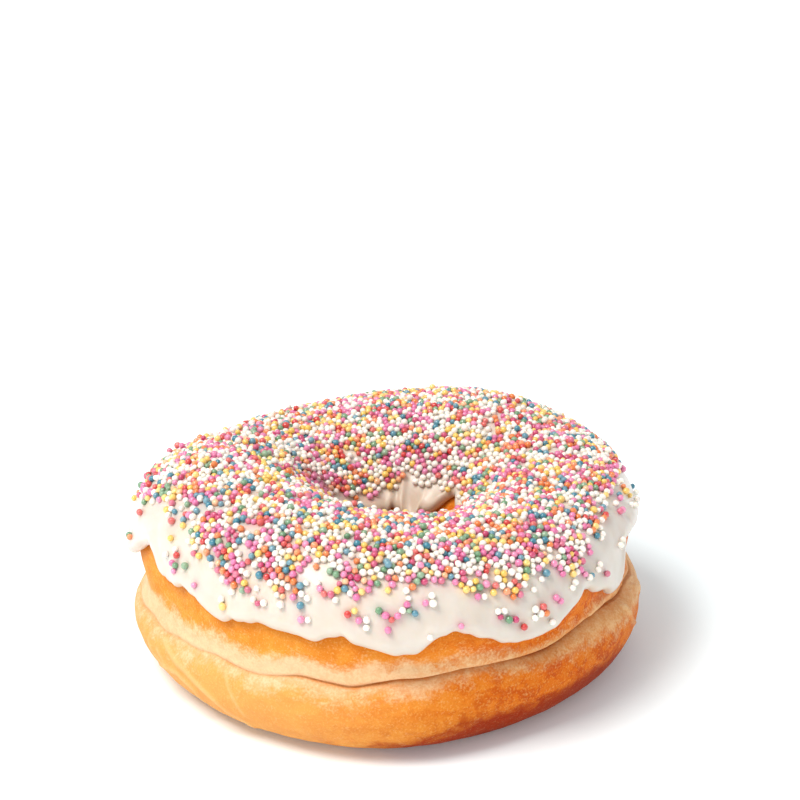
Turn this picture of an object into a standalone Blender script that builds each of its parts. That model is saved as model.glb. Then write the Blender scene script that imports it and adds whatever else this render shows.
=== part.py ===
"""A ring doughnut of raised dough under a drape of set white frosting.

Metres, +Z up. The ring lies on z = 0 with its hole upright. Two numbers name any place on it:
azimuth, in degrees round the hole, 0 at +X and 270 at the front, -Y; and turn, in degrees
round the dough's section, 0 at the waist, 90 at the crown, 180 on the wall of the hole and
-90 under the ring.
"""

import math

import bmesh
import bpy
from mathutils import Matrix, Vector

MM = 0.001

# The ring: its middle line, and how far the dough reaches from it
RING_RADIUS = 27.7 * MM
HOLE_REACH = 18.7 * MM
HOLE_SHIFT = 0.7 * MM
MIDDLE_HEIGHT = 17.5 * MM
DROP = 18.1 * MM
OUTER_SQUARENESS = 3.0
HOLE_SQUARENESS = 1.8

# Twelve stations round the ring, 30 degrees apart from +X, in millimetres: how far the upper
# half reaches out, how far the lower half does, how high the crown rises over the middle,
# how high the waist runs, and how deep it is drawn in.
STATIONS = (
    (15.9, 18.9, 17.2, 16.4, 2.6),
    (20.3, 20.8, 18.4, 17.9, 2.4),
    (20.1, 20.5, 20.9, 18.4, 2.4),
    (19.1, 19.8, 19.2, 17.8, 2.4),
    (18.5, 19.2, 17.3, 18.1, 2.5),
    (16.9, 19.2, 17.1, 18.6, 2.5),
    (19.3, 21.1, 19.5, 15.1, 2.4),
    (15.4, 19.5, 19.4, 12.5, 1.7),
    (16.9, 19.4, 19.0, 13.9, 2.0),
    (17.5, 19.4, 17.7, 15.9, 2.3),
    (16.4, 15.9, 16.8, 17.1, 2.4),
    (14.0, 16.2, 16.8, 17.1, 2.7),
)
WAIST_WIDTH = 13.0
HALVES_BLEND = 14.0

# A fold in the dough that runs from the crown down into the hole
FOLD_AZIMUTH = 163.0
FOLD_WIDTH = 9.0
FOLD_DEPTH = 2.2 * MM
FOLD_TURN = 145.0
FOLD_SPAN = 32.0

# The frosting: a skin that hangs from the crown, with an uneven edge outside and in the hole
FROSTING_GAP = 0.35 * MM
FROSTING_THICKNESS = 1.5 * MM
OUTER_EDGE_TURN = 27.0
HOLE_EDGE_TURN = 160.0

# Runs of frosting past those edges: azimuth, how many degrees of turn further it hangs
# (less where the dough shows higher), and half the run's width in degrees of azimuth
OUTER_RUNS = (
    (20, 7, 7),
    (48, -4, 6),
    (75, 9, 9),
    (104, -3, 6),
    (128, 8, 8),
    (158, 6, 6),
    (186, 5, 4),
    (198, -8, 5),
    (215, -4, 6),
    (231, 2, 4),
    (240, -2, 4),
    (271, 8, 7),
    (282, -2, 3),
    (302, 13, 11),
    (331, 9, 6),
    (338, 15, 4),
)
HOLE_RUNS = (
    (22, -12, 13),
    (66, 9, 9),
    (92, -4, 4),
    (125, -2, 8),
    (205, 5, 12),
    (262, -5, 12),
    (312, 6, 10),
)

# The frosting's rounded lip: degrees of turn in from its edge, and share of its thickness
LIP = ((0.3, 0.0), (-0.9, 0.3), (-0.5, 0.7), (1.4, 0.98), (5.0, 1.08))
DRAPE_STEPS = 7

COLUMNS = 96
DOUGH_ROWS = 24
ROWS_DRAWN_TO_WAIST = 22.0
FIRST_COVERED_ROW = 4
LAST_COVERED_ROW = 10
SECTION_RADIUS = 10 * MM
STEP_ASIDE = 0.5


def clear_scene():
    """Leave nothing of an earlier scene behind."""
    for thing in list(bpy.data.objects):
        bpy.data.objects.remove(thing, do_unlink=True)


def principled(name, colour, roughness, coat=0.0):
    """A plain finish for one kind of material."""
    material = bpy.data.materials.new(name)
    material.use_nodes = True
    shader = material.node_tree.nodes["Principled BSDF"]
    shader.inputs["Base Color"].default_value = (*colour, 1.0)
    shader.inputs["Roughness"].default_value = roughness
    shader.inputs["Coat Weight"].default_value = coat
    return material


def station(column, azimuth):
    """One of the stations' sizes at any azimuth, eased from station to station, in metres."""
    place = azimuth * len(STATIONS) / 360
    first = math.floor(place)
    t = place - first
    a, b, c, d = (STATIONS[(first + k) % len(STATIONS)][column] for k in (-1, 0, 1, 2))
    slope = (c - a) * t
    bend = (2 * a - 5 * b + 4 * c - d) * t * t
    twist = (3 * b - a - 3 * c + d) * t * t * t
    return (2 * b + slope + bend + twist) / 2 * MM


def hump(distance, width):
    """A smooth hump, 1 in its middle."""
    return math.exp(-((distance / width) ** 2))


def around(angle, centre):
    """Degrees from one angle to another, the short way round."""
    return (angle - centre + 180) % 360 - 180


def edge_turn(azimuth, level, runs, way):
    """Where the frosting stops: its usual turn, moved by each run of frosting near this azimuth."""
    return level + way * sum(more * hump(around(azimuth, at), width) for at, more, width in runs)


def dough_point(azimuth, turn):
    """A place on the dough's skin: two squarish half sections, drawn in where they meet."""
    upper, lower, rise, waist_height, waist_depth = (station(k, azimuth) for k in range(5))
    outward = max(0.0, math.cos(math.radians(turn)))
    waist_angle = math.atan2(waist_height - MIDDLE_HEIGHT, lower)
    angle = math.radians(turn) + waist_angle * outward**2
    across, up = math.cos(angle), math.sin(angle)
    squareness = OUTER_SQUARENESS if across > 0 else HOLE_SQUARENESS
    reach = (abs(across) ** squareness + abs(up) ** squareness) ** (-1 / squareness)
    direction = math.radians(azimuth)
    outer_reach = lower + (upper - lower) * (0.5 + 0.5 * math.tanh(turn / HALVES_BLEND))
    hole_reach = HOLE_REACH - HOLE_SHIFT * math.cos(direction)
    waist = waist_depth * hump(turn, WAIST_WIDTH) if outward else 0.0
    fold = FOLD_DEPTH * hump(around(azimuth, FOLD_AZIMUTH), FOLD_WIDTH)
    fold *= hump(turn - FOLD_TURN, FOLD_SPAN)
    sideways = (outer_reach if across > 0 else hole_reach) * reach * across
    radius = RING_RADIUS + sideways - waist + fold / 2
    height = MIDDLE_HEIGHT + (rise if up > 0 else DROP) * reach * up - fold
    return Vector((radius * math.cos(direction), radius * math.sin(direction), max(height, 0.0)))


def outward_normal(azimuth, turn):
    """The direction straight out of the dough's skin."""
    round_ring = dough_point(azimuth + STEP_ASIDE, turn) - dough_point(azimuth - STEP_ASIDE, turn)
    round_section = dough_point(azimuth, turn + STEP_ASIDE) - dough_point(azimuth, turn - STEP_ASIDE)
    return round_ring.cross(round_section).normalized()


def row_turn(row):
    """Rows of corners lie closer together towards the waist, where the shape turns fastest."""
    turn = around(row * 360 / DOUGH_ROWS, 0)
    return turn - ROWS_DRAWN_TO_WAIST * math.sin(math.radians(turn))


def dough_corner(azimuth, row):
    """A corner of the dough."""
    return dough_point(azimuth, row_turn(row))


def frosting_section(azimuth):
    """The frosting's section as (turn, share of its thickness): lip, drape, lip, underside.

    The underside's corners face the dough's own rows, so that the gap between them is even.
    """
    outer = edge_turn(azimuth, OUTER_EDGE_TURN, OUTER_RUNS, -1)
    inner = edge_turn(azimuth, HOLE_EDGE_TURN, HOLE_RUNS, 1)
    lip_end = LIP[-1][0]
    span = inner - outer
    section = [(outer + aside, share) for aside, share in LIP]
    for step in range(1, DRAPE_STEPS + 1):
        turn = outer + lip_end + (span - 2 * lip_end) * step / (DRAPE_STEPS + 1)
        section.append((turn, 1.0))
    section += [(inner - aside, share) for aside, share in reversed(LIP)]
    covered = [row_turn(row) for row in range(LAST_COVERED_ROW, FIRST_COVERED_ROW - 1, -1)]
    underside = [(inner + covered[0]) / 2, *covered, (covered[-1] + outer) / 2]
    return section + [(turn, 0.0) for turn in underside]


def frosting_corner(azimuth, row):
    """A corner of the frosting, set off from the dough that it covers."""
    turn, share = frosting_section(azimuth)[row]
    offset = FROSTING_GAP + FROSTING_THICKNESS * share
    return dough_point(azimuth, turn) + outward_normal(azimuth, turn) * offset


def ring(name, rows, corner, material):
    """A closed ring: a circle spun round the hole's axis, then each corner moved to its place."""
    bm = bmesh.new()
    start = Matrix.Rotation(math.pi / 2, 4, "X") @ Matrix.Rotation(math.pi / 2, 4, "Z")
    start = Matrix.Translation((RING_RADIUS, 0, 0)) @ start
    bmesh.ops.create_circle(bm, segments=rows, radius=SECTION_RADIUS, matrix=start)
    bmesh.ops.spin(
        bm,
        geom=bm.verts[:] + bm.edges[:],
        cent=(0, 0, 0),
        axis=(0, 0, 1),
        angle=2 * math.pi,
        steps=COLUMNS,
        use_merge=True,
    )
    for vert in bm.verts:
        x, y, z = vert.co
        azimuth = math.degrees(math.atan2(y, x)) % 360
        around_section = math.atan2(z, math.hypot(x, y) - RING_RADIUS)
        vert.co = corner(azimuth, round(around_section * rows / (2 * math.pi)) % rows)
    bmesh.ops.recalc_face_normals(bm, faces=bm.faces[:])
    bmesh.ops.triangulate(bm, faces=bm.faces[:], quad_method="SHORT_EDGE")
    mesh = bpy.data.meshes.new(name)
    bm.to_mesh(mesh)
    bm.free()
    mesh.shade_smooth()
    mesh.materials.append(material)
    thing = bpy.data.objects.new(name, mesh)
    bpy.context.scene.collection.objects.link(thing)
    return thing


def centre(things):
    """Slide the meshes so that the middle of their joint box is over the origin."""
    corners = [vert.co for thing in things for vert in thing.data.vertices]
    middle = [(min(c[k] for c in corners) + max(c[k] for c in corners)) / 2 for k in (0, 1)]
    for thing in things:
        thing.data.transform(Matrix.Translation((-middle[0], -middle[1], 0)))


def main():
    clear_scene()
    crust = principled("fried_dough", (0.72, 0.36, 0.11), 0.5)
    icing = principled("white_frosting", (0.90, 0.86, 0.80), 0.35, coat=0.2)
    frosting_rows = len(frosting_section(0))
    dough = ring("dough_ring", DOUGH_ROWS, dough_corner, crust)
    frosting = ring("frosting", frosting_rows, frosting_corner, icing)
    centre([dough, frosting])


main()
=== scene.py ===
import math

import bmesh
import bpy
import numpy as np
from mathutils import Matrix, Quaternion, Vector, noise
from mathutils.bvhtree import BVHTree
from mathutils.kdtree import KDTree


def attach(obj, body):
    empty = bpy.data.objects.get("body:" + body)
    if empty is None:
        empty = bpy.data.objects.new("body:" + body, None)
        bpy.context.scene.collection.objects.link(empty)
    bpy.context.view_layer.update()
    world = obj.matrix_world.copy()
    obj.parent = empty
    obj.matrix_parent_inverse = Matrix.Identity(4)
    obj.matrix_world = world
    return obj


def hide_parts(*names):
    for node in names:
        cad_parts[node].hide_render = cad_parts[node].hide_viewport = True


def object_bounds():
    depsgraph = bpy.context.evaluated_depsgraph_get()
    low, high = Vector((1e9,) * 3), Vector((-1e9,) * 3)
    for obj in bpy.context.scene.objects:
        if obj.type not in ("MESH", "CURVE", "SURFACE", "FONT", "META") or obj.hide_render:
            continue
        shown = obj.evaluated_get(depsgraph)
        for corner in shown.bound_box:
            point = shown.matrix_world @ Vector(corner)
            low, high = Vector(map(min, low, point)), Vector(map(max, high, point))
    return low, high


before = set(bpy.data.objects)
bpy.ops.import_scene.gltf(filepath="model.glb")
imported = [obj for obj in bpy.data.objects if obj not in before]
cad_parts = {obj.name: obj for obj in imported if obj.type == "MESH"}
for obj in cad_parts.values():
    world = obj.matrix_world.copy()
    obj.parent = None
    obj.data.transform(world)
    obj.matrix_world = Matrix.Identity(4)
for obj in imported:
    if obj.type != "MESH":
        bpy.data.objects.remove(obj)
cad_low, cad_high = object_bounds()
print("measured model:", [round((high - low) * 1000, 1) for low, high in zip(cad_low, cad_high)], "mm")

# %% [markdown]
# # Two numbers for a place on the ring
# A doughnut is a ring, so flat x and y say little about where something sits on it. A place is
# named here by its azimuth, in degrees round the hole, with the front at 270, and by its turn,
# in degrees round the dough's section: 0 at the waist, 90 on the crown, 180 in the hole. One
# could also paint and sculpt by hand, but a place that has numbers can be changed later.

# %% The ring's sizes
MM = 0.001
AXIS = np.array((1.19, -0.45, 0.0)) * MM
RING_RADIUS = 27.7 * MM
HOLE_REACH = 18.7 * MM
HOLE_SHIFT = 0.7 * MM
MIDDLE_HEIGHT = 17.5 * MM
DROP = 18.1 * MM
OUTER_SQUARENESS = 3.0
HOLE_SQUARENESS = 1.8

# Twelve stations from +X on, in millimetres: the upper half's reach, the lower half's reach,
# the crown's rise, the waist's height and the waist's depth
STATIONS = np.array((
    (15.9, 18.9, 17.2, 16.4, 2.6),
    (20.3, 20.8, 18.4, 17.9, 2.4),
    (20.1, 20.5, 20.9, 18.4, 2.4),
    (19.1, 19.8, 19.2, 17.8, 2.4),
    (18.5, 19.2, 17.3, 18.1, 2.5),
    (16.9, 19.2, 17.1, 18.6, 2.5),
    (19.3, 21.1, 19.5, 15.1, 2.4),
    (15.4, 19.5, 19.4, 12.5, 1.7),
    (16.9, 19.4, 19.0, 13.9, 2.0),
    (17.5, 19.4, 17.7, 15.9, 2.3),
    (16.4, 15.9, 16.8, 17.1, 2.4),
    (14.0, 16.2, 16.8, 17.1, 2.7),
))
WAIST_WIDTH = 13.0
HALVES_BLEND = 14.0
FOLD_AZIMUTH = 165.0
FOLD_NEAR_WIDTH = 5.5
FOLD_FAR_WIDTH = 7.5
FOLD_DEPTH = 3.6 * MM
FOLD_TURN = 136.0
FOLD_SPAN = 29.0


# %% Helpers for shapes round the ring
def eased(values, azimuth):
    """Values given at equal steps round the ring, eased from one to the next."""
    values = np.asarray(values)
    place = azimuth * len(values) / 360
    first = np.floor(place).astype(int)
    t = place - first
    a, b, c, d = (values[(first + k) % len(values)] for k in (-1, 0, 1, 2))
    return b + ((c - a) * t + (2 * a - 5 * b + 4 * c - d) * t**2 + (3 * b - a - 3 * c + d) * t**3) / 2


def hump(distance, width):
    """A smooth hump, 1 in its middle."""
    return np.exp(-((distance / width) ** 2))


def step(value, low, high):
    """0 below low, 1 above high, smooth between."""
    t = np.clip((value - low) / (high - low), 0, 1)
    return t * t * (3 - 2 * t)


def around(angle, centre):
    """Degrees from one angle to another, the short way round."""
    return (angle - centre + 180) % 360 - 180


def humps(azimuth, runs):
    """The sum of smooth humps round the ring, each given as azimuth, amount and half width."""
    return sum(amount * hump(around(azimuth, at), width) for at, amount, width in runs)


def lumps(points, size, seed=0):
    """Smooth random lumps of about a size, from -1 to 1, one for each point."""
    aside = Vector((seed * 17.3, seed * 5.1, seed * 9.7))
    return np.array([noise.noise(Vector(p) / size + aside) for p in points.reshape(-1, 3)]).reshape(
        points.shape[:-1]
    )


# %% The dough's plain shape
def dough_point(azimuth, turn):
    """A place on the dough's plain skin, as in the measured model."""
    upper, lower, rise, waist_height, waist_depth = (
        eased(STATIONS[:, k], azimuth) * MM for k in range(5)
    )
    outward = np.maximum(0.0, np.cos(np.radians(turn)))
    waist_angle = np.arctan2(waist_height - MIDDLE_HEIGHT, lower)
    angle = np.radians(turn) + waist_angle * outward**2
    across, up = np.cos(angle), np.sin(angle)
    squareness = np.where(across > 0, OUTER_SQUARENESS, HOLE_SQUARENESS)
    reach = (np.abs(across) ** squareness + np.abs(up) ** squareness) ** (-1 / squareness)
    direction = np.radians(azimuth)
    outer_reach = lower + (upper - lower) * (0.5 + 0.5 * np.tanh(turn / HALVES_BLEND))
    hole_reach = HOLE_REACH - HOLE_SHIFT * np.cos(direction)
    waist = np.where(outward > 0, waist_depth * hump(turn, WAIST_WIDTH), 0.0)
    from_fold = around(azimuth, FOLD_AZIMUTH)
    fold_width = np.where(from_fold > 0, FOLD_NEAR_WIDTH, FOLD_FAR_WIDTH)
    fold = FOLD_DEPTH * hump(from_fold, fold_width) * hump(turn - FOLD_TURN, FOLD_SPAN)
    sideways = np.where(across > 0, outer_reach, hole_reach) * reach * across
    radius = RING_RADIUS + sideways - waist + fold / 2
    height = MIDDLE_HEIGHT + np.where(up > 0, rise, DROP) * reach * up - fold
    place = np.stack(
        (radius * np.cos(direction), radius * np.sin(direction), np.maximum(height, 0.0)), axis=-1
    )
    return place + AXIS


def unit(vectors):
    """The same directions, each one long."""
    return vectors / np.maximum(np.linalg.norm(vectors, axis=-1, keepdims=True), 1e-12)


def outward_normal(azimuth, turn):
    """The direction straight out of the plain skin."""
    round_ring = dough_point(azimuth + 0.5, turn) - dough_point(azimuth - 0.5, turn)
    round_section = dough_point(azimuth, turn + 0.5) - dough_point(azimuth, turn - 0.5)
    return unit(np.cross(round_ring, round_section))


def degrees_for(azimuth, turn):
    """How many degrees of turn make a metre along the skin."""
    along = dough_point(azimuth, turn + 0.5) - dough_point(azimuth, turn - 0.5)
    return 1 / np.maximum(np.linalg.norm(along, axis=-1), 1e-6)


# %% [markdown]
# # The camera, the floor and the light
# Food like this is shown on a bright white table, a little from above, with one big soft light
# on the left and white all round to fill the shadows. The camera and the light come first,
# because every colour is judged by them.

# %% Camera
CAMERA_HEIGHT = 24.01
CAMERA_DISTANCE = 0.38
CAMERA_PITCH = 19.51
CAMERA_YAW = 0.2
rise = math.radians(CAMERA_HEIGHT)
middle = Vector(AXIS) + Vector((0, 0, 18 * MM))
camera_data = bpy.data.cameras.new("camera")
camera_data.sensor_width = 36
camera_data.lens = 91.85
camera_data.clip_start = 0.01
camera = bpy.data.objects.new("camera", camera_data)
camera.location = middle + CAMERA_DISTANCE * Vector((0, -math.cos(rise), math.sin(rise)))
camera.rotation_euler = (math.radians(90 - CAMERA_PITCH), 0, -math.radians(CAMERA_YAW))
bpy.context.scene.collection.objects.link(camera)
bpy.context.scene.camera = camera
bpy.context.scene.view_settings.view_transform = "Standard"
print("camera", camera_data.lens, "mm, looking", CAMERA_PITCH, "degrees down")


# %% Shader maths written as plain sums
class Wire:
    """A node's output, which can be added, multiplied and so on with numbers and other wires."""

    def __init__(self, finish, socket):
        self.finish, self.socket = finish, socket

    def maths(self, operation, first, second):
        return self.finish.node("ShaderNodeMath", {"operation": operation}, {0: first, 1: second})

    def __add__(self, other):
        return self.maths("ADD", self, other)

    def __sub__(self, other):
        return self.maths("SUBTRACT", self, other)

    def __rsub__(self, other):
        return self.maths("SUBTRACT", other, self)

    def __mul__(self, other):
        return self.maths("MULTIPLY", self, other)

    __radd__, __rmul__ = __add__, __mul__


class Finish:
    """A material, with the few kinds of node that this object needs."""

    def __init__(self, name, roughness, coat=0.0, coat_roughness=0.2, specular=0.5):
        self.material = bpy.data.materials.new(name)
        self.material.use_nodes = True
        self.tree = self.material.node_tree
        self.shader = self.tree.nodes["Principled BSDF"]
        self.shader.inputs["Roughness"].default_value = roughness
        self.shader.inputs["Coat Weight"].default_value = coat
        self.shader.inputs["Coat Roughness"].default_value = coat_roughness
        self.shader.inputs["Specular IOR Level"].default_value = specular
        self.place = self.node("ShaderNodeTexCoord", {}, {}, "Object")

    def node(self, kind, settings, inputs, output=0):
        """Any node: its settings are set first, then its sockets are given numbers or wires."""
        node = self.tree.nodes.new(kind)
        for name, value in settings.items():
            setattr(node, name, value)
        for name, value in inputs.items():
            self.feed(node.inputs[name], value)
        return Wire(self, node.outputs[output])

    def feed(self, socket, value):
        if isinstance(value, Wire):
            self.tree.links.new(value.socket, socket)
        else:
            socket.default_value = value

    def set(self, name, value):
        self.feed(self.shader.inputs[name], value)

    def let_light_in(self, share, depth):
        """Some light goes in and comes out again nearby, red deepest."""
        self.set("Subsurface Weight", share)
        self.set("Subsurface Radius", (1.0, 0.55, 0.35))
        self.set("Subsurface Scale", depth)

    def grain(self, size, detail=2.0, roughness=0.5, distortion=0.0, place=None):
        """Random cloudy grain of about a size, around 0.5."""
        inputs = {
            "Vector": place or self.place,
            "Scale": 1 / size,
            "Detail": detail,
            "Roughness": roughness,
            "Distortion": distortion,
        }
        return self.node("ShaderNodeTexNoise", {}, inputs)

    def attribute(self, name, output="Fac"):
        """A value that was stored on the piece's corners."""
        return self.node("ShaderNodeAttribute", {"attribute_name": name}, {}, output)

    def ease(self, value, low, high):
        """0 below low, 1 above high, smooth between."""
        return self.node(
            "ShaderNodeMapRange",
            {"interpolation_type": "SMOOTHSTEP"},
            {"Value": value, "From Min": low, "From Max": high},
        )

    def mix(self, share, first, second, blend="MIX"):
        """One colour over another."""
        settings = {"data_type": "RGBA", "blend_type": blend}
        return self.node("ShaderNodeMix", settings, {0: share, 6: first, 7: second}, 2)

    def bump(self, height, distance, strength=1.0, under=None):
        """Small relief that is only shaded."""
        inputs = {"Height": height, "Distance": distance, "Strength": strength}
        if under:
            inputs["Normal"] = under
        return self.node("ShaderNodeBump", {}, inputs, "Normal")


def rgb(red, green, blue):
    """A colour as a node's socket takes it."""
    return (red, green, blue, 1.0)


# %% Floor and lights
FLOOR_SIDE = 6.0
SHADOW_MIDDLE = (2 * MM, 24 * MM, 0)
bm = bmesh.new()
bmesh.ops.create_grid(bm, x_segments=1, y_segments=1, size=FLOOR_SIDE / 2)
floor_mesh = bpy.data.meshes.new("floor")
bm.to_mesh(floor_mesh)
bm.free()
floor = bpy.data.objects.new("floor", floor_mesh)
bpy.context.scene.collection.objects.link(floor)
glowing_white_table = Finish("glowing_white_table", roughness=0.9, specular=0.1)
glowing_white_table.set("Base Color", rgb(0.84, 0.92, 0.95))
# The floor glows, a painted light: faintly within 46 mm of a point about 24 mm behind the ring's middle, which leaves
# a painted shade round the ring, and fully from 170 mm on, so that the table further off looks evenly white.
from_ring = glowing_white_table.node(
    "ShaderNodeVectorMath", {"operation": "DISTANCE"}, {0: glowing_white_table.place, 1: SHADOW_MIDDLE}, "Value"
)
glow_share = glowing_white_table.ease(from_ring, 46 * MM, 170 * MM)
glowing_white_table.set("Emission Color", glowing_white_table.mix(glow_share, rgb(0.09, 0.09, 0.09), rgb(0.8, 0.8, 0.8)))
glowing_white_table.set("Emission Strength", 1.0)
floor_mesh.materials.append(glowing_white_table.material)

world = bpy.data.worlds.new("white_room")
world.use_nodes = True
world.node_tree.nodes["Background"].inputs["Color"].default_value = rgb(1.0, 1.0, 1.0)
world.node_tree.nodes["Background"].inputs["Strength"].default_value = 0.66
bpy.context.scene.world = world


def soft_light(name, azimuth, height, distance, side, power, colour):
    """A square soft light that looks at the ring."""
    data = bpy.data.lights.new(name, "AREA")
    data.size = side
    data.energy = power
    data.color = colour
    light = bpy.data.objects.new(name, data)
    level = distance * math.cos(math.radians(height))
    aside = Vector((math.cos(math.radians(azimuth)), math.sin(math.radians(azimuth)), 0)) * level
    light.location = middle + aside + Vector((0, 0, distance * math.sin(math.radians(height))))
    light.rotation_euler = (middle - light.location).to_track_quat("-Z", "Y").to_euler()
    bpy.context.scene.collection.objects.link(light)
    return light


soft_light("key", 217, 57, 0.9, 0.4, 7.3, (1.0, 0.97, 0.93))
print("floor", FLOOR_SIDE, "m wide, one soft light and a white room")

# %% [markdown]
# # The dough
# Raised dough floats while it fries, so its top and its underside brown and a pale band stays
# between them, with a crease where the two halves met. The dough could be sculpted, or a torus
# could be displaced by textures. Here a circle is spun into a ring and its corners are moved by
# the same sizes as the measured model's, in much finer steps, so that the crease, its lip and
# the wrinkles are real shapes that catch the light.


# %% A fine ring to shape
def corners_of(mesh):
    """A mesh's corners as an array."""
    corners = np.zeros(len(mesh.vertices) * 3)
    mesh.vertices.foreach_get("co", corners)
    return corners.reshape(-1, 3)


def fine_ring(name, rows, columns):
    """A ring of small faces, with each corner's row and column."""
    bm = bmesh.new()
    start = Matrix.Rotation(math.pi / 2, 4, "X") @ Matrix.Rotation(math.pi / 2, 4, "Z")
    start = Matrix.Translation((RING_RADIUS, 0, 0)) @ start
    bmesh.ops.create_circle(bm, segments=rows, radius=10 * MM, matrix=start)
    bmesh.ops.spin(
        bm,
        geom=bm.verts[:] + bm.edges[:],
        cent=(0, 0, 0),
        axis=(0, 0, 1),
        angle=2 * math.pi,
        steps=columns,
        use_merge=True,
    )
    bmesh.ops.recalc_face_normals(bm, faces=bm.faces[:])
    mesh = bpy.data.meshes.new(name)
    bm.to_mesh(mesh)
    bm.free()
    x, y, z = corners_of(mesh).T
    column = np.round(np.arctan2(y, x) * columns / (2 * np.pi)) % columns
    row = np.round(np.arctan2(z, np.hypot(x, y) - RING_RADIUS) * rows / (2 * np.pi)) % rows
    piece = bpy.data.objects.new(name, mesh)
    bpy.context.scene.collection.objects.link(piece)
    return piece, row.astype(int), column.astype(int)


def set_corners(piece, points):
    """Move every corner of a piece."""
    piece.data.vertices.foreach_set("co", points.reshape(-1))
    piece.data.shade_smooth()
    piece.data.update()


def store(piece, name, values):
    """Keep a value for each corner, for the material to read."""
    layer = piece.data.attributes.new(name, "FLOAT", "POINT")
    layer.data.foreach_set("value", np.ascontiguousarray(values, dtype=np.float32))


def drawn(steps, count, towards, pull):
    """Equal steps round a circle, in degrees, drawn closer together towards one angle."""
    angle = around(steps * 360 / count, towards)
    return (towards + angle - pull * np.sin(np.radians(angle))) % 360


# %% Where the frosting ends
FROSTING_THICKNESS = 1.85 * MM
SUNK = 0.5 * MM
OUTER_EDGE_TURN = 27.0
HOLE_EDGE_TURN = 160.0
OUTER_RUNS = (
    (20, 7, 7), (48, -4, 6), (75, 9, 9), (104, -3, 6), (128, 8, 8), (158, 6, 6), (186, 5, 4),
    (198, -8, 5), (215, -4, 6), (231, 2, 4), (240, -2, 4), (271, 8, 7), (282, -2, 3),
    (302, 13, 11), (331, 9, 6), (337, 13, 4),
)
SMALL_RUNS = (
    (196, -1.5, 3), (222, -2, 2.2), (253, 2, 2.5), (262, 1.5, 3), (275, 2.5, 2), (287, 2.5, 3),
    (293, 3, 3), (313, 2, 3), (325, 3, 3), (344, -3, 4), (350, -5, 5), (358, -3, 5),
    (12, 2, 2), (34, -2, 3), (60, 2, 3), (91, -2, 3), (116, 2, 3), (143, -2, 3), (170, 2, 3),
)
TINY_RUNS = tuple(
    (at * 5.3 % 360, 1.1 * math.sin(at * 2.4) + 0.7 * math.sin(at * 5.1), 1.3) for at in range(68)
)
HOLE_RUNS = (
    (22, -12, 13), (66, 9, 9), (92, -4, 4), (125, -2, 8), (205, 5, 12), (262, -5, 12), (312, 6, 10),
)
SMALL_HOLE_RUNS = (
    (6, -9, 9), (31, -8, 11), (57, -3, 3), (77, 2, 4), (93, 2, 5), (140, -3, 6), (180, 4, 6),
    (235, 4, 7), (340, -4, 8),
)


def outer_edge(azimuth):
    """The turn at which the frosting stops outside."""
    small = humps(azimuth, SMALL_RUNS) + humps(azimuth, TINY_RUNS)
    return OUTER_EDGE_TURN - humps(azimuth, OUTER_RUNS) - small


def inner_edge(azimuth):
    """The turn at which the frosting stops in the hole."""
    return HOLE_EDGE_TURN + humps(azimuth, HOLE_RUNS) + humps(azimuth, SMALL_HOLE_RUNS)


# %% Where the crease runs and what it looks like
CREASE_RUNS = (
    (183, -9, 12), (202, -3, 6), (225, 2, 6), (238, -1, 4), (249, 2, 4), (261, -2, 4),
    (271, 1, 3), (286, 2, 7), (308, -3, 9), (330, 0.5, 5), (346, -2.5, 8), (8, -8, 11),
    (40, 3, 12), (70, -3, 9), (96, 2, 7), (125, -3, 12), (150, 2, 8),
)
OVERHANG = (0.5, 0.3, 0.4, 0.6, 0.3, 0.2, 0.2, 0.1, 0.12, 0.75, 1.0, 0.9)
CREAM_ABOVE = (1.0, 3.0, 3.5, 3.0, 3.5, 4.0, 4.4, 3.9, 4.0, 2.9, 0.9, 0.8)
# How far the dough goes browner and redder, round the ring: most on the right and front right, away from the key
# light, partly deeper frying and partly painted shade
TAN_AND_RIGHT_SHADE = (0.8, 0.6, 0.5, 0.5, 0.45, 0.38, 0.32, 0.25, 0.2, 0.45, 0.9, 0.95)
CREAM_BELOW = (4.0, 3.0, 2.5, 3.0, 3.0, 2.5, 2.0, 1.7, 2.2, 2.9, 2.3, 4.3)


def crease_turn(azimuth):
    """The turn at which the crease runs."""
    return humps(azimuth, CREASE_RUNS)


# %% Wrinkles: lines along the skin, each a list of (azimuth, height in mm), then rise and width
WRINKLES = (
    (((205, 11.2), (212, 9.7), (217, 9.1), (221, 8.2), (224.5, 7.4), (227.5, 6.3)), 0.34, 0.5),
    (((227.5, 6.3), (230, 5.0), (234, 4.0), (235, 2.2)), 0.32, 0.45),
    (((203, 5.6), (208, 7.0), (213, 7.5), (216.5, 6.9), (219, 6.0), (221, 4.4)), 0.30, 0.5),
    (((199, 9.0), (202, 7.4), (206, 7.0), (208, 6.8)), 0.27, 0.45),
    (((204, 9.2), (206.5, 8.0), (207, 7.0)), 0.22, 0.4),
    (((229.8, 12.6), (231.5, 11.0), (233, 9.4), (234.5, 7.5), (235.5, 5.6)), 0.20, 0.35),
    (((344, 14.2), (345.5, 12.4), (346.5, 10.6), (350, 9.0)), 0.45, 0.5),
    (((357, 15.0), (363, 14.0), (364.5, 12.2), (362, 11.2)), 0.30, 0.5),
    (((352, 16.0), (358, 13.2), (360, 11.5)), 0.25, 0.4),
    (((328, 17.9), (333, 17.7), (338, 17.8), (342.5, 17.5), (348, 18.6)), 0.25, 0.5),
)
CREASES_DOWN = (
    (((229.4, 13.2), (230.0, 12.4), (229.8, 11.4)), 0.25, 0.25),
    (((244.0, 17.6), (244.4, 17.0), (245.0, 16.8)), 0.25, 0.28),
)


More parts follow.
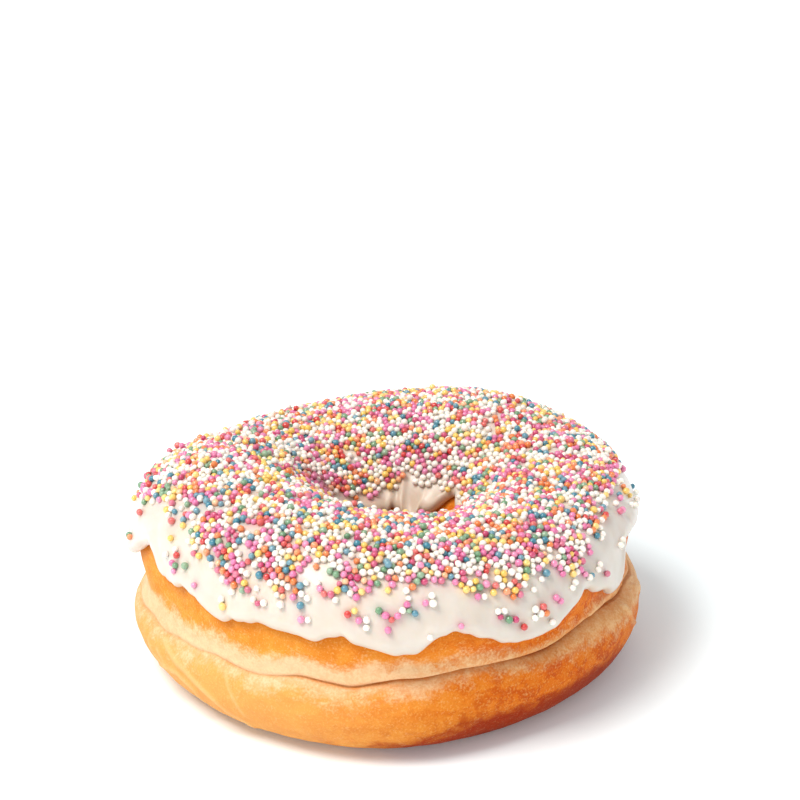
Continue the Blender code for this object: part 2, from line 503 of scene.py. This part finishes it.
def line_profile(azimuth, height, lines):
    """Ridges along the lines: the most that any line raises each point, in metres."""
    along = azimuth * np.radians(1) * 47 * MM
    total = np.zeros_like(azimuth)
    for points, rise_mm, width_mm in lines:
        ends = [(np.radians(a) * 47 * MM, z * MM) for a, z in points]
        nearest = np.full_like(azimuth, 1.0)
        for (x0, z0), (x1, z1) in zip(ends, ends[1:]):
            run = np.array((x1 - x0, z1 - z0))
            wrap = np.round((along - x0) / (2 * np.pi * 47 * MM)) * 2 * np.pi * 47 * MM
            offset = np.stack((along - x0 - wrap, height - z0), axis=-1)
            share = np.clip(offset @ run / (run @ run), 0, 1)
            nearest = np.minimum(nearest, np.linalg.norm(offset - share[..., None] * run, axis=-1))
        total = np.maximum(total, rise_mm * MM * hump(nearest, width_mm * MM))
    return total


# %% Shape the dough
DOUGH_ROWS = 150
DOUGH_COLUMNS = 520
dough, row, column = fine_ring("fried_dough_ring", DOUGH_ROWS, DOUGH_COLUMNS)
azimuth = drawn(column, DOUGH_COLUMNS, 270, 25)
turn = around(drawn(row, DOUGH_ROWS, 0, 45), 0)
plain = dough_point(azimuth, turn)
normal = outward_normal(azimuth, turn)
height = plain[:, 2]
from_crease = turn - crease_turn(azimuth)
crease_height = dough_point(azimuth, crease_turn(azimuth))[:, 2]
outside = step(np.cos(np.radians(turn)), 0.0, 0.25)
hang = eased(OVERHANG, azimuth) + 0.15 * lumps(plain, 9 * MM, 3)
hang = np.clip(hang, 0, 1) * outside

groove = -(0.24 + 0.55 * hang) * MM * hump(from_crease, 0.6 + 0.9 * hang) * outside
rims = 0.12 * MM * (1 - hang) * hump(np.abs(from_crease) - 2.6, 1.5) * outside
upper_lip = 0.75 * MM * hang * hump(from_crease - 3.2, 3.4)
under_lip = -0.4 * MM * hang * hump(from_crease + 2.2, 2.4)
filled = 0.55 * MM * hump(from_crease + 8, 5.5) * outside
filled = filled + 0.3 * MM * (1 - hang) * hump(from_crease - 8, 5.5) * outside
lip_drop = 0.85 * MM * hang * hump(from_crease - 2.0, 2.4)
wavy = 0.22 * MM * lumps(plain, 7 * MM, 1) + 0.07 * MM * lumps(plain, 2.2 * MM, 2)
ridges = line_profile(azimuth, height, WRINKLES) * outside
cuts = line_profile(azimuth, height, CREASES_DOWN) * outside
rise_out = groove + rims + upper_lip + under_lip + filled + wavy + ridges - cuts
shaped = plain + normal * rise_out[:, None]
shaped[:, 2] -= lip_drop
flat = step(plain[:, 2], 0.0, 0.6 * MM)
shaped = plain + (shaped - plain) * flat[:, None]
shaped[:, 2] = np.maximum(shaped[:, 2], 0.0)
set_corners(dough, shaped)
print("dough:", len(dough.data.polygons), "faces")

# %% What the dough's colours follow
above = (height - crease_height) / MM
band_noise = 1.3 * lumps(plain, 5 * MM, 5) + 0.6 * lumps(plain, 1.6 * MM, 6)
top_edge = eased(CREAM_ABOVE, azimuth) + band_noise
low_edge = eased(CREAM_BELOW, azimuth) + band_noise
cream_and_lip_highlight = step(top_edge - above, -2.6, 2.4) * step(low_edge + above, -2.4, 2.2) * outside
# The crease's dark line; where the upper half overhangs, it is widened and moved below the crease as a painted shadow
# under the lip
seam_and_lip_shadow = (0.4 + 0.6 * hang) * hump(from_crease + 1.2 * hang, 0.6 + 1.7 * hang) * outside
tan_and_right_shade = eased(TAN_AND_RIGHT_SHADE, azimuth) + 0.12 * lumps(plain, 12 * MM, 8)
right = step(np.cos(np.radians(azimuth - 340)), -0.1, 1.0)
left = step(np.cos(np.radians(azimuth - 205)), 0.2, 1.0)
# Darker low down, outside and on the hole's lower side, where fried dough browns; outside it grows much stronger on
# the right, away from the key light, and that part is painted shade
browning_and_right_shade = step(-above, 5.0, 17.0) * (0.2 + 1.9 * right) * outside + (1 - outside) * (turn < 0) * 0.5
# Paler low on the left, round the crease, on the side the key light falls on: a painted light
painted_light_low_left = left * step(-above, -1.0, 2.0) * outside
# A painted highlight along the overhanging lip above the crease, put into the pale band's mask
lit_lip = 0.95 * hang * hump(from_crease - 3.0, 1.7) * outside
cream_and_lip_highlight = cream_and_lip_highlight * (1 - (0.3 - 0.25 * right) * step(-above, -0.3, 0.3))
cream_and_lip_highlight = np.maximum(cream_and_lip_highlight, lit_lip * (0.8 + 0.4 * lumps(plain, 2.5 * MM, 9)))
# Darker dough within about 1.6 mm below the frosting's edge: a painted shade under the frosting's lip
to_frosting = (outer_edge(azimuth) - turn) / degrees_for(azimuth, turn) / MM
painted_shade_under_frosting = hump(np.maximum(to_frosting, 0), 1.6) * outside
store(dough, "cream_and_lip_highlight", cream_and_lip_highlight)
store(dough, "seam_and_lip_shadow", seam_and_lip_shadow)
store(dough, "tan_and_right_shade", np.clip(tan_and_right_shade, 0, 1))
store(dough, "browning_and_right_shade", browning_and_right_shade)
store(dough, "painted_light_low_left", painted_light_low_left)
store(dough, "painted_shade_under_frosting", painted_shade_under_frosting)
# Wrinkle ridges, painted paler: a painted highlight
store(dough, "painted_ridge_highlight", np.clip(ridges / (0.25 * MM), 0, 1))

# %% Fried dough finish
fried = Finish("fried_dough", roughness=0.55, specular=0.07)
fried.let_light_in(0.12, 0.8 * MM)
lying = fried.node("ShaderNodeMapping", {}, {"Vector": fried.place, "Scale": (1.0, 1.0, 1.4)})
speck = fried.grain(0.30 * MM, detail=1.0)
fine = fried.grain(0.42 * MM, detail=3.0, roughness=0.6)
middling = fried.grain(2.0 * MM, detail=4.0, roughness=0.6, place=lying)
mottle = fried.grain(4.2 * MM, detail=6.0, roughness=0.66, distortion=0.4, place=lying)
broad = fried.grain(9 * MM, detail=3.0, distortion=0.6)
rough_edge = (fine - 0.5) * 0.8 + (middling - 0.5) * 1.1
# The pale band, with the painted highlight on the lip in it
cream_and_lip_highlight_mask = fried.ease(fried.attribute("cream_and_lip_highlight") + rough_edge, 0.05, 0.95)
# Dark red-brown low down: frying, and on the right side painted shade
browning_and_right_shade_mask = fried.ease(fried.attribute("browning_and_right_shade") + (mottle - 0.5) * 1.3, 0.15, 1.05)
# Browner and redder on the right, partly frying and partly painted shade
tan_and_right_shade = fried.attribute("tan_and_right_shade")
tan_and_right_shade_mask = tan_and_right_shade + (mottle - 0.5) * 0.9
gold = fried.mix(tan_and_right_shade_mask, rgb(0.77, 0.31, 0.041), rgb(0.70, 0.145, 0.003))
patches = fried.ease(mottle * 0.7 + middling * 0.3, 0.45, 0.57) * (tan_and_right_shade * 0.7 + 0.25)
gold = fried.mix(patches, gold, fried.mix(tan_and_right_shade, rgb(0.74, 0.23, 0.012), rgb(0.53, 0.065, 0.001)))
gold = fried.mix(fried.ease(fine * 0.8 + middling * 0.2, 0.50, 0.64) * 0.36, gold, rgb(0.88, 0.46, 0.10))
gold = fried.mix(fried.ease(1 - speck, 0.60, 0.72) * 0.35, gold, rgb(0.56, 0.13, 0.006))
# Painted light: paler low on the left, the lit side
gold = fried.mix(fried.attribute("painted_light_low_left") * 0.5, gold, rgb(0.80, 0.44, 0.16))
browned = fried.mix(browning_and_right_shade_mask, gold, rgb(0.32, 0.028, 0.001))
# Painted shade just below the frosting's edge
browned = fried.mix(fried.attribute("painted_shade_under_frosting") * 0.75, browned, rgb(0.56, 0.135, 0.004))
pale = fried.mix(tan_and_right_shade, rgb(0.80, 0.53, 0.32), rgb(0.72, 0.33, 0.11))
pale = fried.mix(fried.ease(fine * 0.5 + middling * 0.5, 0.44, 0.60) * 0.4, pale, rgb(0.88, 0.64, 0.37))
skin = fried.mix(cream_and_lip_highlight_mask, browned, pale)
skin = fried.mix(fried.ease(speck, 0.64, 0.72) * 0.2, skin, rgb(0.88, 0.60, 0.28))
# Paler along the wrinkle ridges: a painted highlight
skin = fried.mix(fried.attribute("painted_ridge_highlight") * 0.32, skin, rgb(0.90, 0.64, 0.34))
line = fried.mix(tan_and_right_shade, rgb(0.70, 0.27, 0.04), rgb(0.38, 0.08, 0.005))
# The crease's line, with a painted shadow under the overhanging lip
skin = fried.mix(fried.attribute("seam_and_lip_shadow") * 0.8, skin, line)
fried.set("Base Color", skin)
relief = fried.bump(fine, 0.16 * MM, 0.8)
fried.set("Normal", fried.bump(middling, 0.4 * MM, 0.6, relief))
dough.data.materials.append(fried.material)
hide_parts("dough_ring")
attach(dough, "root")

# %% [markdown]
# # The frosting
# The crown is dipped into thin white frosting, which runs a little down both sides and sets
# with a thick rounded edge. It could be the top of the dough, thickened. A ring of its own is
# better, because its edge is then free to wander and to stand proud of the dough.

# %% Shape the frosting
FROSTING_COLUMNS = 480
LIP_ROWS = 9
DRAPE_ROWS = 46
UNDER_ROWS = 6
LIP_WIDTH = 1.1 * MM
FROSTING_ROWS = 2 * LIP_ROWS + DRAPE_ROWS + UNDER_ROWS


def lip_shape(step_in_lip):
    """How far in from the edge and how high over the dough the lip is: a round bead."""
    swing = np.radians(-75 + 165 * step_in_lip / (LIP_ROWS - 1))
    aside = LIP_WIDTH * (1 - np.cos(swing)) - 0.35 * MM
    high = np.where(swing < 0, 0.45 + 0.45 * np.sin(swing), 0.45 + 0.55 * np.sin(swing))
    return aside, high


def frosting_place(row, azimuth):
    """The turn of each corner, and its share of the frosting's thickness."""
    outer, inner = outer_edge(azimuth), inner_edge(azimuth)
    per_metre_out, per_metre_in = degrees_for(azimuth, outer + 1), degrees_for(azimuth, inner - 1)
    aside_out, high_out = lip_shape(np.clip(row, 0, LIP_ROWS - 1))
    last_lip = 2 * LIP_ROWS + DRAPE_ROWS - 1
    aside_in, high_in = lip_shape(np.clip(last_lip - row, 0, LIP_ROWS - 1))
    lip_aside, _ = lip_shape(LIP_ROWS - 1)
    first = outer + lip_aside * per_metre_out
    last = inner - lip_aside * per_metre_in
    drape_share = (row - LIP_ROWS + 1) / (DRAPE_ROWS + 1)
    drape = first + (last - first) * (drape_share + 0.035 * np.sin(2 * np.pi * drape_share) * -1)
    under_share = (row - last_lip) / (UNDER_ROWS + 1)
    under = inner + (outer - inner) * under_share
    on_outer = row < LIP_ROWS
    on_drape = (row >= LIP_ROWS) & (row < LIP_ROWS + DRAPE_ROWS)
    on_inner = (row >= LIP_ROWS + DRAPE_ROWS) & (row <= last_lip)
    kinds = [on_outer, on_drape, on_inner]
    turn = np.select(
        kinds, [outer + aside_out * per_metre_out, drape, inner - aside_in * per_metre_in], under
    )
    share = np.select(kinds, [high_out, 1.0, high_in], -1.0)
    return turn, share


frosting, row, column = fine_ring("white_frosting_coat", FROSTING_ROWS, FROSTING_COLUMNS)
azimuth = drawn(column, FROSTING_COLUMNS, 270, 20)
turn, share = frosting_place(row, azimuth)
plain = dough_point(azimuth, turn)
normal = outward_normal(azimuth, turn)
from_outer = (turn - outer_edge(azimuth)) / degrees_for(azimuth, turn)
from_inner = (inner_edge(azimuth) - turn) / degrees_for(azimuth, turn)
from_edge = np.minimum(from_outer, from_inner)
bead = 1 + 0.24 * hump(from_edge - 1.2 * MM, 1.2 * MM) + 0.1 * lumps(plain, 6 * MM, 12)
uneven = 0.16 * MM * lumps(plain, 4.5 * MM, 11) + 0.05 * MM * lumps(plain, 1.8 * MM, 13)
HOLE_DRIPS = ((80, 0.6, 4.0), (94, 0.4, 4.5), (62, 0.35, 7.0), (112, 0.3, 8.0))
runs_in_hole = MM * humps(azimuth, HOLE_DRIPS) * step(turn, 116, 140)
heaped = 0.9 * MM * hump(around(azimuth, 172), 34) * hump(turn - 84, 30)
lowered = 0.4 * MM * hump(around(azimuth, 70), 32) * hump(turn - 90, 34)
uneven = uneven + heaped - lowered + 0.07 * MM * lumps(plain, 2.6 * MM, 14)
thick = FROSTING_THICKNESS * bead * share + (uneven + runs_in_hole) * np.clip(share, 0, 1)
offset = np.where(share < 0, -SUNK, thick + 0.02 * MM)
set_corners(frosting, plain + normal * offset[:, None])
# Frosting mixed towards a dough colour: at its very edge, where the dough shows through, and deep in the hole and on
# the left front, where it is painted shade
thin_edge_and_shade = np.maximum(step(turn, 134, 160), 0.35 * hump(from_edge, 0.5 * MM)) * (share > -0.5)
painted_shade_left_front = 0.3 * hump(around(azimuth, 236), 26) * (turn < 88) * (share > -0.5)
store(frosting, "thin_edge_and_shade", np.clip(thin_edge_and_shade + painted_shade_left_front, 0, 1))
print("frosting:", len(frosting.data.polygons), "faces")

# %% [markdown]
# # The sprinkles
# These are little sugar balls a bit over a millimetre across. They are poured over the wet
# frosting, roll into each other, sink in a little and pile up where many fall. Scattering them
# at random would leave overlaps and gaps, so they are dropped at random and then settled:
# every ball is pushed out of its neighbours and drawn back to the frosting, a few dozen times.

# %% Where sprinkles fall
SPRINKLE_RADIUS = 0.585 * MM
SPRINKLED_EDGE = (
    (0, 53), (10, 48), (24, 40), (60, 34), (100, 40), (140, 34), (172, 42), (182, 46), (189, 44), (198, 48), (210, 48),
    (217, 47), (225, 43), (232, 38), (236, 41), (246, 40), (253, 37), (258, 41), (264, 44),
    (272, 46), (280, 48), (284, 46), (288, 38), (298, 38), (303, 36), (306, 39), (311, 40),
    (316, 38), (324, 40), (332, 43), (340, 49), (350, 53), (360, 53),
)
SPRINKLED_HOLE_EDGE = (
    (0, 140), (16, 142), (31, 143), (49, 146), (54, 150), (62, 149), (70, 142), (78, 139),
    (84, 145), (90, 150), (100, 147), (108, 151), (124, 149), (138, 147), (150, 141), (165, 142),
    (180, 146), (205, 150), (262, 143), (312, 150), (345, 145), (360, 140),
)
BARE_PATCHES = (
    (63, 134, 6, 0.7), (80, 143, 6, 0.9), (120, 128, 5, 0.6), (46, 141, 5, 0.5), (97, 150, 4, 0.5),
)
PILES = ((152, 90, 26, 0.8), (185, 88, 20, 0.7), (275, 66, 20, 0.3), (168, 140, 12, 0.5))
STRAY_GROUPS = (
    (207, 43, 1), (211, 41, 2), (213, 36, 1), (221, 35, 1), (232, 33, 2), (241, 36, 2),
    (246, 36, 1), (252, 34, 2), (262, 36, 2), (264, 32, 1), (267, 38, 1), (270, 36, 3),
    (268, 31, 1), (273, 36, 3), (274, 41, 1), (278, 40, 3), (284, 30, 1), (292, 31, 3),
    (295, 28, 2), (298, 24, 1), (302, 27, 4), (304, 20, 1), (308, 29, 2), (313, 32, 2),
    (320, 32, 3), (328, 27, 1), (326, 32, 2), (340, 34, 2), (348, 44, 2), (354, 47, 2), (0, 35, 1), (2, 44, 2),
)
SPRINKLES = 5300
STRAYS = 0.03
random_numbers = np.random.default_rng(7)


def spots(azimuth, turn, places):
    """The sum of round spots on the skin, each given as azimuth, turn, half width and amount."""
    total = np.zeros_like(azimuth)
    for at, at_turn, width, amount in places:
        total += amount * hump(np.hypot(around(azimuth, at), turn - at_turn), width)
    return total


def sprinkle_density(azimuth, turn, points):
    """How thickly the sprinkles fall, 1 for a full layer."""
    patchy = lumps(points, 5 * MM, 21)
    fingers = lumps(points, 2.6 * MM, 23)
    outer = np.interp(azimuth, *np.transpose(SPRINKLED_EDGE)) + 3 * patchy + 4 * fingers
    hole = np.interp(azimuth, *np.transpose(SPRINKLED_HOLE_EDGE)) + 1.5 * patchy + 2.5 * fingers
    full = step(turn - outer, -2, 3) * step(hole - turn, -1.5, 3)
    full = full * (1 - 0.5 * step(-fingers, 0.3, 0.5))
    full = full * np.clip(1 - spots(azimuth, turn, BARE_PATCHES), 0, 1)
    full = full * (1 + spots(azimuth, turn, PILES))
    front = step(-np.sin(np.radians(azimuth)), 0.0, 0.3)
    stray = STRAYS * (2 - front) * step(turn - outer_edge(azimuth), 2, 8) * step(outer + 2 - turn, 0, 4)
    return full * (1 + 0.3 * lumps(points, 9 * MM, 22)) + stray


# %% Drop them
def drop_sprinkles(count):
    """Random places on the frosting, by the density."""
    places = np.zeros((0, 2))
    while len(places) < count:
        tries = 30000
        azimuth = random_numbers.uniform(0, 360, tries)
        turn = random_numbers.uniform(8, 175, tries)
        points = dough_point(azimuth, turn)
        round_ring = dough_point(azimuth + 0.5, turn) - dough_point(azimuth - 0.5, turn)
        round_section = dough_point(azimuth, turn + 0.5) - dough_point(azimuth, turn - 0.5)
        area = np.linalg.norm(np.cross(round_ring, round_section), axis=-1)
        chance = sprinkle_density(azimuth, turn, points) * area
        kept = random_numbers.uniform(0, 1.3 * area.max(), tries) < chance
        places = np.vstack((places, np.stack((azimuth[kept], turn[kept]), axis=-1)))
    return places[:count]


def drop_groups():
    """The few that lie by themselves in the bare margin."""
    centres = np.array([(at, turn) for at, turn, count in STRAY_GROUPS for _ in range(count)], float)
    return centres + random_numbers.uniform(-1.2, 1.2, centres.shape)


groups = drop_groups()
places = np.vstack((drop_sprinkles(SPRINKLES - len(groups)), groups))
fall = FROSTING_THICKNESS + random_numbers.uniform(0.4, 1.6, (SPRINKLES, 1)) * MM
balls = dough_point(*places.T) + outward_normal(*places.T) * fall
radii = SPRINKLE_RADIUS * np.clip(random_numbers.normal(1.0, 0.09, SPRINKLES), 0.82, 1.16)

# %% Settle them
SETTLING_ROUNDS = 60
REST_HEIGHT = 0.68
STEADY_DIGITS = 8


def surface_tree(piece, row, column):
    """The piece's surface, for finding near places, with its faces always in the same order."""
    order = np.lexsort((row, column))
    rank = np.empty(len(order), int)
    rank[order] = np.arange(len(order))
    faces = []
    for face in piece.data.polygons:
        ranks = [int(rank[index]) for index in face.vertices]
        first = ranks.index(min(ranks))
        faces.append(ranks[first:] + ranks[:first])
    return BVHTree.FromPolygons(corners_of(piece.data)[order].tolist(), sorted(faces))


frosting_tree = surface_tree(frosting, row, column)


def near_pairs(points, reach):
    """Every pair of points closer than a reach."""
    tree = KDTree(len(points))
    for index, point in enumerate(points):
        tree.insert(point, index)
    tree.balance()
    pairs = [
        (index, other)
        for index, point in enumerate(points)
        for _, other, _ in tree.find_range(point, reach)
        if other > index
    ]
    return np.array(pairs)


def push_apart(points, radii, pairs):
    """Move overlapping balls half of their overlap each."""
    first, second = pairs.T
    gap = points[first] - points[second]
    distance = np.maximum(np.linalg.norm(gap, axis=-1), 1e-6)
    overlap = np.maximum(radii[first] + radii[second] - distance, 0) * 0.45
    push = gap / distance[:, None] * overlap[:, None]
    moved = points.copy()
    np.add.at(moved, first, push)
    np.add.at(moved, second, -push)
    return moved


def rest_on(points, radii, pull):
    """Lift balls that sank too deep, and draw the others down a little."""
    settled = points.copy()
    over = np.zeros(len(points))
    for index, point in enumerate(points):
        near, out, _, _ = frosting_tree.find_nearest(Vector(point))
        high = (Vector(point) - near).dot(out)
        over[index] = high / radii[index]
        rest = REST_HEIGHT * radii[index]
        settled[index] = np.array(Vector(point) + out * ((rest - high) if high < rest else -pull * min(high - rest, 0.3 * MM)))
    return settled, over


for settling in range(SETTLING_ROUNDS):
    if settling % 3 == 0:
        pairs = near_pairs(balls, 1.6 * MM)
    balls = push_apart(balls, radii, pairs)
    balls, over = rest_on(balls, radii, 0.25)
    balls = np.round(balls, STEADY_DIGITS)
pairs = near_pairs(balls, 1.6 * MM)
first, second = pairs.T
distance = np.linalg.norm(balls[first] - balls[second], axis=-1)
overlap = (radii[first] + radii[second] - distance) / (radii[first] + radii[second])
print("settled: overlap of touching balls", np.percentile(overlap[overlap > 0], (50, 90, 99)).round(3), "second layer", (over > 1.3).sum())
crowded = set(first[overlap > 0.4])
top_limit = cad_high[2] + 1.1 * MM
low_enough = balls[:, 2] + radii < top_limit
keep = low_enough & ~np.isin(np.arange(SPRINKLES), list(crowded))
print("left out:", len(crowded), "crowded,", (~low_enough).sum(), "too high")
balls, radii, places = balls[keep], radii[keep], places[keep]
print("sprinkles:", len(balls))

# %% Sprinkle colours
KINDS = {
    "white": (0.42, rgb(0.93, 0.87, 0.79)),
    "pink": (0.15, rgb(0.78, 0.18, 0.40)),
    "rose": (0.07, rgb(0.60, 0.045, 0.16)),
    "red": (0.07, rgb(0.68, 0.035, 0.03)),
    "orange": (0.065, rgb(0.87, 0.22, 0.035)),
    "yellow": (0.115, rgb(0.94, 0.60, 0.11)),
    "green": (0.06, rgb(0.15, 0.33, 0.17)),
    "blue": (0.07, rgb(0.03, 0.23, 0.33)),
    "peach": (0.02, rgb(0.92, 0.46, 0.22)),
}
CLUMPING = 1.5
WHITE_DRIFTS = ((40, 130, 12, 1.3), (60, 138, 8, 1.0), (130, 92, 8, 1.3), (162, 98, 8, 1.2), (250, 118, 8, 1.1))
# How far into the fold each ball lies: more balls there are of red kinds, and their colour gets a painted shade
fold_side = around(places[:, 0], 168) * 0.28
in_fold = hump(np.hypot(fold_side, (places[:, 1] - 131) * 0.25), 4.0)


def likely(kind, name, share):
    """How likely each ball is of a kind: they were poured unevenly mixed."""
    more = 3.0 * in_fold * (name in ("pink", "rose", "red"))
    more = more + spots(places[:, 0], places[:, 1], WHITE_DRIFTS) * (name == "white")
    return share * np.exp(CLUMPING * lumps(balls, 3.2 * MM, 31 + kind) + more)


chances = np.array([likely(kind, name, share) for kind, (name, (share, _)) in enumerate(KINDS.items())])
chances = np.cumsum(chances / chances.sum(axis=0), axis=0)
kinds = (random_numbers.uniform(size=len(balls)) > chances).sum(axis=0)


def sprinkle_finish(name, colour):
    """Coloured sugar under a fine glaze, with painted shade on the balls that lie in the fold."""
    finish = Finish(name, roughness=0.36, coat=0.9, coat_roughness=0.09)
    finish.let_light_in(0.3, 0.5 * MM)
    tone = finish.attribute("tone")
    cloudy = finish.grain(0.5 * MM, detail=2.0)
    washed = finish.mix(0.15, colour, rgb(0.95, 0.88, 0.82))
    darker = finish.mix(0.22, colour, rgb(colour[0] * 0.5, colour[1] * 0.5, colour[2] * 0.5))
    sugar = finish.mix(finish.ease(tone + (cloudy - 0.5) * 0.5, 0.0, 1.0), darker, washed)
    # A darker, redder colour for the balls in the fold: painted shade
    painted_fold_shade = rgb(colour[0] * 0.3, colour[1] * 0.05, colour[2] * 0.1)
    finish.set("Base Color", finish.mix(finish.attribute("painted_fold_shade") * 0.92, sugar, painted_fold_shade))
    finish.set("Normal", finish.bump(finish.grain(0.35 * MM), 0.04 * MM, 0.5))
    return finish.material


def one_ball():
    """A ball of few faces, one long from its middle, that every sprinkle repeats."""
    bm = bmesh.new()
    bmesh.ops.create_uvsphere(bm, u_segments=8, v_segments=6, radius=1.0)
    mesh = bpy.data.meshes.new("one_ball")
    bm.to_mesh(mesh)
    bm.free()
    return mesh


BALL = one_ball()
BALL_CORNERS = corners_of(BALL)


def sprinkle_piece(name, points, radii, painted_fold_shade, material):
    """All balls of one colour, as one piece: the ball is repeated, then each is put in place."""
    bm = bmesh.new()
    for _ in points:
        bm.from_mesh(BALL)
    mesh = bpy.data.meshes.new(name)
    bm.to_mesh(mesh)
    bm.free()
    piece = bpy.data.objects.new(name, mesh)
    bpy.context.scene.collection.objects.link(piece)
    placed = []
    for point, radius in zip(points, radii):
        tilt = np.array(Quaternion(random_numbers.normal(size=4)).normalized().to_matrix())
        stretch = random_numbers.uniform(0.94, 1.06, 3) * radius * 1.03
        placed.append((BALL_CORNERS * stretch) @ tilt.T + point)
    set_corners(piece, np.concatenate(placed))
    store(piece, "tone", np.repeat(random_numbers.uniform(0, 1, len(points)), len(BALL_CORNERS)))
    # Painted shade for the balls in the fold
    store(piece, "painted_fold_shade", np.repeat(painted_fold_shade, len(BALL_CORNERS)))
    mesh.materials.append(material)
    return piece


for kind, (name, (share, colour)) in enumerate(KINDS.items()):
    chosen = kinds == kind
    material = sprinkle_finish(f"sprinkle_{name}", colour)
    piece = sprinkle_piece(
        f"sprinkles_{name}", balls[chosen], radii[chosen], in_fold[chosen], material
    )
    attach(piece, "root")
    print(piece.name, chosen.sum(), "balls,", len(piece.data.polygons), "faces")

# %% [markdown]
# # The frosting's finish
# Sugar frosting is off-white and a little glossy. Colour from the sprinkles bleeds into it
# where it is wet, so a faint tint is stored round every coloured ball.

# %% Tint from the sprinkles
tints = np.array([colour[:3] for _, colour in KINDS.values()])[kinds]
tree = KDTree(len(balls))
for index, ball in enumerate(balls):
    tree.insert(ball, index)
tree.balance()
bleed = np.zeros((len(frosting.data.vertices), 4))
for index, corner in enumerate(corners_of(frosting.data)):
    found = [(other, math.exp(-((distance / (1.1 * MM)) ** 2))) for _, other, distance in tree.find_range(corner, 2.2 * MM)]
    weight = sum(w for _, w in found)
    if weight:
        bleed[index, :3] = sum(tints[other] * w for other, w in found) / weight
        bleed[index, 3] = min(weight, 1.0)
layer = frosting.data.attributes.new("bleed", "FLOAT_COLOR", "POINT")
layer.data.foreach_set("color", bleed.astype(np.float32).reshape(-1))

# %% Frosting finish
iced = Finish("white_frosting", roughness=0.40, coat=0.25, coat_roughness=0.22)
iced.let_light_in(0.4, 1.2 * MM)
cloud = iced.grain(5 * MM, detail=3.0)
ripple = iced.grain(1.3 * MM, detail=2.0)
white = iced.mix(iced.ease(cloud, 0.35, 0.65), rgb(0.675, 0.61, 0.545), rgb(0.64, 0.565, 0.49))
stain = iced.attribute("bleed", "Alpha") * 0.22
# Towards a dough colour at the very edge, and as painted shade deep in the hole and on the left front
white = iced.mix(iced.attribute("thin_edge_and_shade") * 0.55, white, rgb(0.60, 0.42, 0.27))
iced.set("Base Color", iced.mix(stain, white, iced.attribute("bleed", "Color")))
iced.set("Normal", iced.bump(ripple, 0.12 * MM, 0.35))
frosting.data.materials.append(iced.material)
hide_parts("frosting")
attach(frosting, "root")
